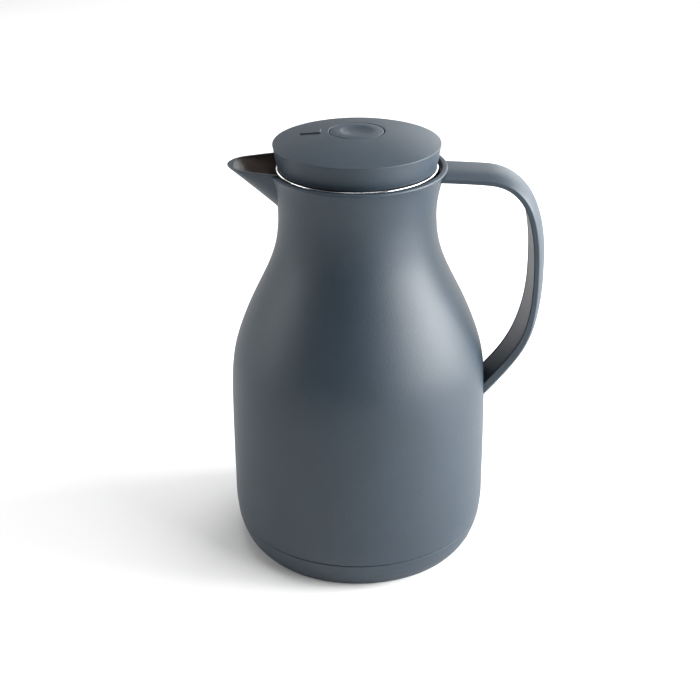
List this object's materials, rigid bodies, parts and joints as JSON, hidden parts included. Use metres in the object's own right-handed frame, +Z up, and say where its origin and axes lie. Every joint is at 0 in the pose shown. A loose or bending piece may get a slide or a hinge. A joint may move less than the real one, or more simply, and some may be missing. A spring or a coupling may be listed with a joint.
{
  "type": "thermal jug",
  "caption": "Matt slate thermal serving jug with an open spout, a bowed handle and a screw-in stopper whose centre button opens the pouring valve.",
  "frame": {"origin": "on the jug's axis, at the flat underside of the base, where it stands", "axes": "+Z up along the jug's axis, -X to the spout, +X to the handle, +Y to the far side"},
  "size_m": [0.1688, 0.1398, 0.2359],
  "materials": {
    "slate_plastic": "fine matt grain, satin sheen",
    "dark_plastic": "matt moulded",
    "white_plastic": "natural, unpainted",
    "polished_steel": "polished",
    "spring_steel": "drawn wire and zinc plate",
    "silvered_glass": "silvered inside the vacuum",
    "silicone": "matt translucent",
    "black_rubber": "matt"
  },
  "bodies": {
    "jug": {"outer_shell": "slate_plastic", "base_cap": "slate_plastic", "base_seal": "black_rubber", "flask_cushion": "black_rubber", "flask_outer_wall": "silvered_glass", "flask_inner_wall": "silvered_glass", "flask_spacer_1": "white_plastic", "flask_spacer_2": "white_plastic", "flask_spacer_3": "white_plastic", "mouth_gasket": "silicone", "neck_insert": "dark_plastic", "mouth_ring": "polished_steel", "handle_outer": "slate_plastic", "handle_cover": "slate_plastic", "handle_screw": "spring_steel"},
    "seal_ring": {"stopper_seal": "silicone"},
    "stopper": {"lid_cover": "slate_plastic", "stopper_body": "dark_plastic", "valve_seat": "dark_plastic", "button_spring": "spring_steel"},
    "push_button": {"button": "slate_plastic", "valve_stem": "white_plastic", "valve_disc": "white_plastic", "valve_seal": "silicone"}
  },
  "joints": [
    {"name": "lid_rise", "type": "slide", "parent": "jug", "child": "seal_ring", "axis": [0, 0, 1], "range_m": [0, 0.0451]},
    {"name": "lid_turn", "type": "hinge", "parent": "seal_ring", "child": "stopper", "pos_m": [0, 0, 0.21], "axis": [0, 0, 1], "range_deg": [0, 675]},
    {"name": "button_press", "type": "slide", "parent": "stopper", "child": "push_button", "axis": [0, 0, -1], "range_m": [0, 0.0035], "stiffness_N_per_m": 450, "springref_m": -0.004, "deforming": ["button_spring"]}
  ],
  "couplings": [
    {"joint": "lid_rise", "follows": "lid_turn", "m_per_rad": 0.0038197}
  ]
}
